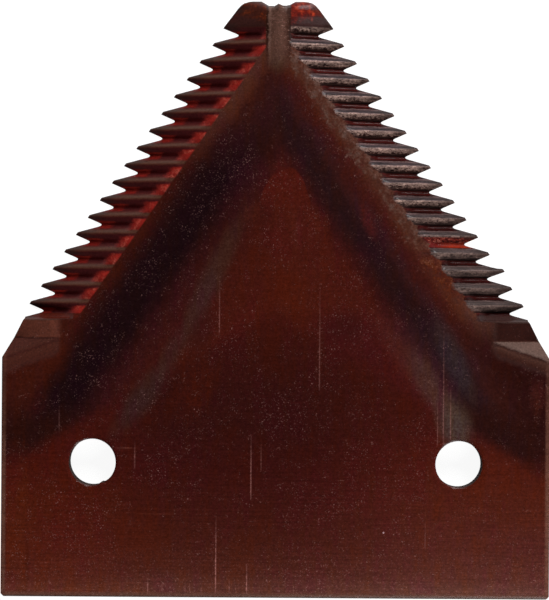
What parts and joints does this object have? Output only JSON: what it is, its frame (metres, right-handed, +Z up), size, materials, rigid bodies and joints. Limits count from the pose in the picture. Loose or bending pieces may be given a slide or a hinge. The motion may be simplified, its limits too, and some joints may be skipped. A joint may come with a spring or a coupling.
{
  "type": "mower knife section",
  "caption": "Flat triangular steel mower knife section with serrated bevelled cutting edges, a blunt forked tip and a square base with rivet holes, lacquered red-brown.",
  "frame": {"origin": "midway between the two rivet holes, on the flat back face", "axes": "+X from rivet hole to rivet hole, +Y towards the tip along the plate's centre line, +Z up through the plate towards the serrated face"},
  "size_m": [0.076, 0.0831, 0.003],
  "materials": {
    "lacquered_steel": "thin translucent red-brown lacquer over hardened steel with blue-black heat bands"
  },
  "bodies": {
    "root": {"knife_section": "lacquered_steel"}
  },
  "joints": []
}
